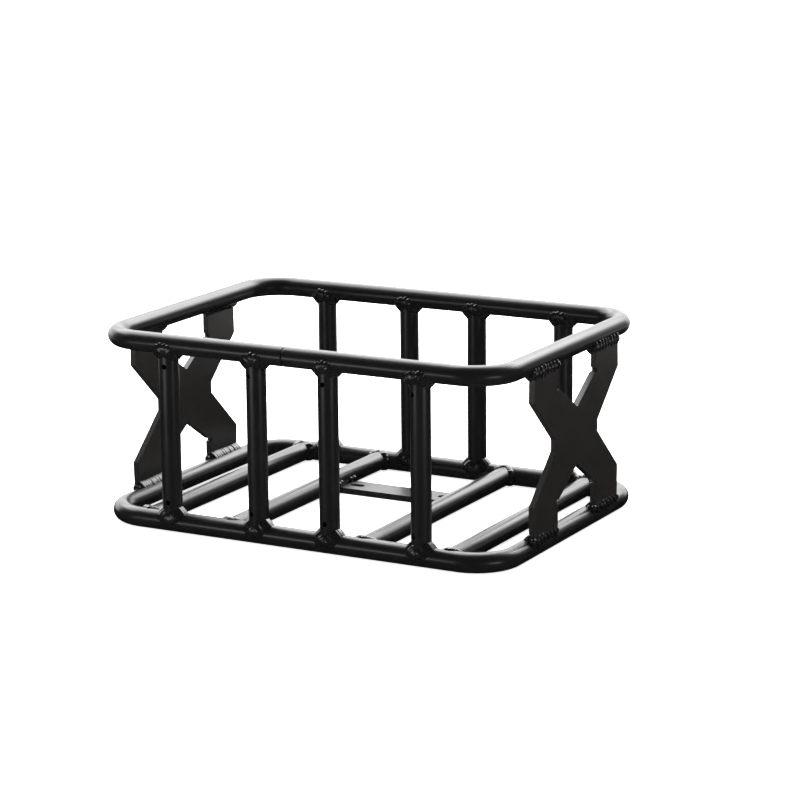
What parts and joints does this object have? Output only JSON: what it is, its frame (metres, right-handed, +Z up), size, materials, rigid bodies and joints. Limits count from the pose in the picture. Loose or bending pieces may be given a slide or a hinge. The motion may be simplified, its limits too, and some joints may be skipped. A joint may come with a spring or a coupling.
{
  "type": "tube cargo basket",
  "caption": "Welded round-tube cargo basket: bent top and bottom rings joined by uprights, open tube floor, X-shaped end plates and a slotted mounting bar.",
  "frame": {"origin": "centre of the footprint, on the plane the bottom ring stands on", "axes": "+X along the long side, -Y the front long side (the mounting bar lies towards +Y), +Z up"},
  "size_m": [0.365, 0.2658, 0.16],
  "materials": {
    "tube_coat": "satin",
    "plate_coat": "satin",
    "weld_coat": "gloss"
  },
  "bodies": {
    "root": {"top_ring": "tube_coat", "bottom_ring": "tube_coat", "front_upright_1": "tube_coat", "front_upright_2": "tube_coat", "front_upright_3": "tube_coat", "front_upright_4": "tube_coat", "back_upright_1": "tube_coat", "back_upright_2": "tube_coat", "back_upright_3": "tube_coat", "back_upright_4": "tube_coat", "floor_tube_1": "tube_coat", "floor_tube_2": "tube_coat", "floor_tube_3": "tube_coat", "floor_tube_4": "tube_coat", "end_plate_left": "plate_coat", "end_plate_right": "plate_coat", "mount_plate": "plate_coat", "weld_front_top": "weld_coat", "weld_front_bottom": "weld_coat", "weld_back_top": "weld_coat", "weld_back_bottom": "weld_coat", "weld_floor_front": "weld_coat", "weld_floor_back": "weld_coat", "weld_end_plate_left": "weld_coat", "weld_end_plate_right": "weld_coat", "weld_mount_plate": "weld_coat"}
  },
  "joints": []
}
